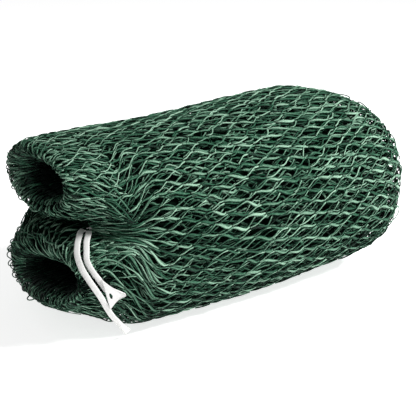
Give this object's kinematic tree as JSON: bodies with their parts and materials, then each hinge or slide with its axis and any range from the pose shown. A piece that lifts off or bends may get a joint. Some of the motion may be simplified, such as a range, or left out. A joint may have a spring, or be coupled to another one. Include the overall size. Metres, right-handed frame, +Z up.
{
  "type": "rolled climbing net",
  "caption": "Climbing net of knotless green mesh, rolled into a bundle, turned in at both ends, folded into two lobes at one end and tied there with a flat white tape.",
  "frame": {"origin": "on the ground, under the middle of the bundle", "axes": "+X along the bundle towards its loose end, -X at the tied end with the two mouths, +Z up, -Y the side where the tape tails hang"},
  "size_m": [0.43, 0.2478, 0.202],
  "materials": {
    "net": "knitted green twine, slightly glossy",
    "net_inside": "the same twine in the shade of the outer turns",
    "edge": "braided green cord",
    "tape": "woven flat white tape, matte"
  },
  "bodies": {
    "root": {"outer_turn": "net", "second_turn": "net_inside", "third_turn": "net_inside", "core_upper_fold": "net_inside", "core_lower_fold": "net_inside", "far_tuck": "net_inside", "upper_lobe": "net", "lower_lobe": "net", "upper_tuck": "net_inside", "lower_tuck": "net_inside", "edge_cord": "edge", "tie_loop": "tape", "tie_knot": "tape", "tie_tail_long": "tape", "tie_tail_short": "tape"}
  },
  "joints": []
}
